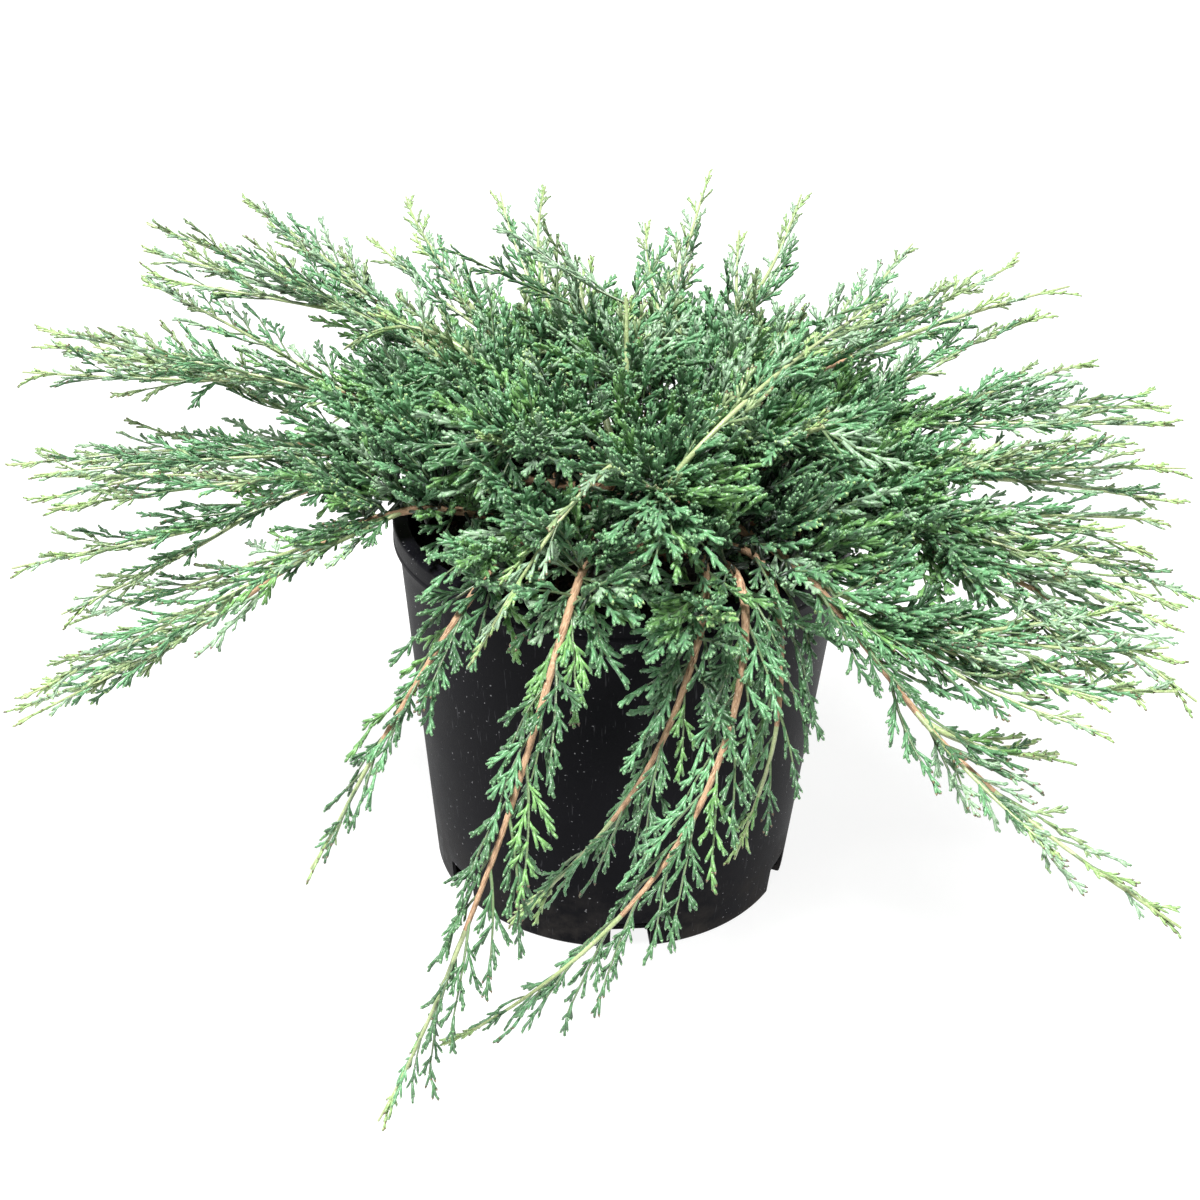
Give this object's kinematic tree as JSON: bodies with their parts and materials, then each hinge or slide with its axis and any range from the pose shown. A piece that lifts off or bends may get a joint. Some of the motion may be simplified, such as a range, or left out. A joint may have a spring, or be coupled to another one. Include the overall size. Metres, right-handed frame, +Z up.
{
  "type": "potted spreading juniper",
  "caption": "Low spreading juniper with long trailing shoots of scale-leaved sprays round a dense dome, rooted in a round tapered black nursery pot",
  "frame": {"origin": "centre of the pot's flat underside", "axes": "+Z up along the pot's axis, -Y the side shown to the front, where three long shoots hang down to the floor"},
  "size_m": [0.7525, 0.6074, 0.3918],
  "materials": {
    "pot": "black moulded plastic, matt, dusty and lightly scuffed",
    "soil": "dark peat and bark potting mix",
    "bark": "thin flaking red-brown bark, paler and greener on young shoots",
    "needles": "blue-green scale leaves with a waxy bloom and yellow-green tips"
  },
  "bodies": {
    "root": {"crown_back": "needles", "crown_front": "needles", "crown_front_left": "needles", "crown_front_right": "needles", "crown_left": "needles", "crown_right": "needles", "crown_top": "needles", "limb_back_left": "bark", "limb_back_left_high": "bark", "limb_back_left_low": "bark", "limb_back_low": "bark", "limb_back_right_low": "bark", "limb_back_right_tall": "bark", "limb_back_spire": "bark", "limb_back_tall": "bark", "limb_front_bright": "bark", "limb_front_left": "bark", "limb_front_long": "bark", "limb_front_right": "bark", "limb_front_trailing": "bark", "limb_left_long": "bark", "limb_left_low": "bark", "limb_left_mid": "bark", "limb_left_rising": "bark", "limb_left_upper": "bark", "limb_right_droop": "bark", "limb_right_high": "bark", "limb_right_long": "bark", "limb_right_low": "bark", "limb_right_mid": "bark", "limb_right_rising": "bark", "limb_right_upper": "bark", "plume_back_left": "needles", "plume_back_left_high": "needles", "plume_back_left_low": "needles", "plume_back_low": "needles", "plume_back_right_low": "needles", "plume_back_right_tall": "needles", "plume_back_spire": "needles", "plume_back_tall": "needles", "plume_front_bright": "needles", "plume_front_left": "needles", "plume_front_long": "needles", "plume_front_right": "needles", "plume_front_trailing": "needles", "plume_left_long": "needles", "plume_left_low": "needles", "plume_left_mid": "needles", "plume_left_rising": "needles", "plume_left_upper": "needles", "plume_right_droop": "needles", "plume_right_high": "needles", "plume_right_long": "needles", "plume_right_low": "needles", "plume_right_mid": "needles", "plume_right_rising": "needles", "plume_right_upper": "needles", "pot": "pot", "soil": "soil", "stem": "bark"}
  },
  "joints": []
}
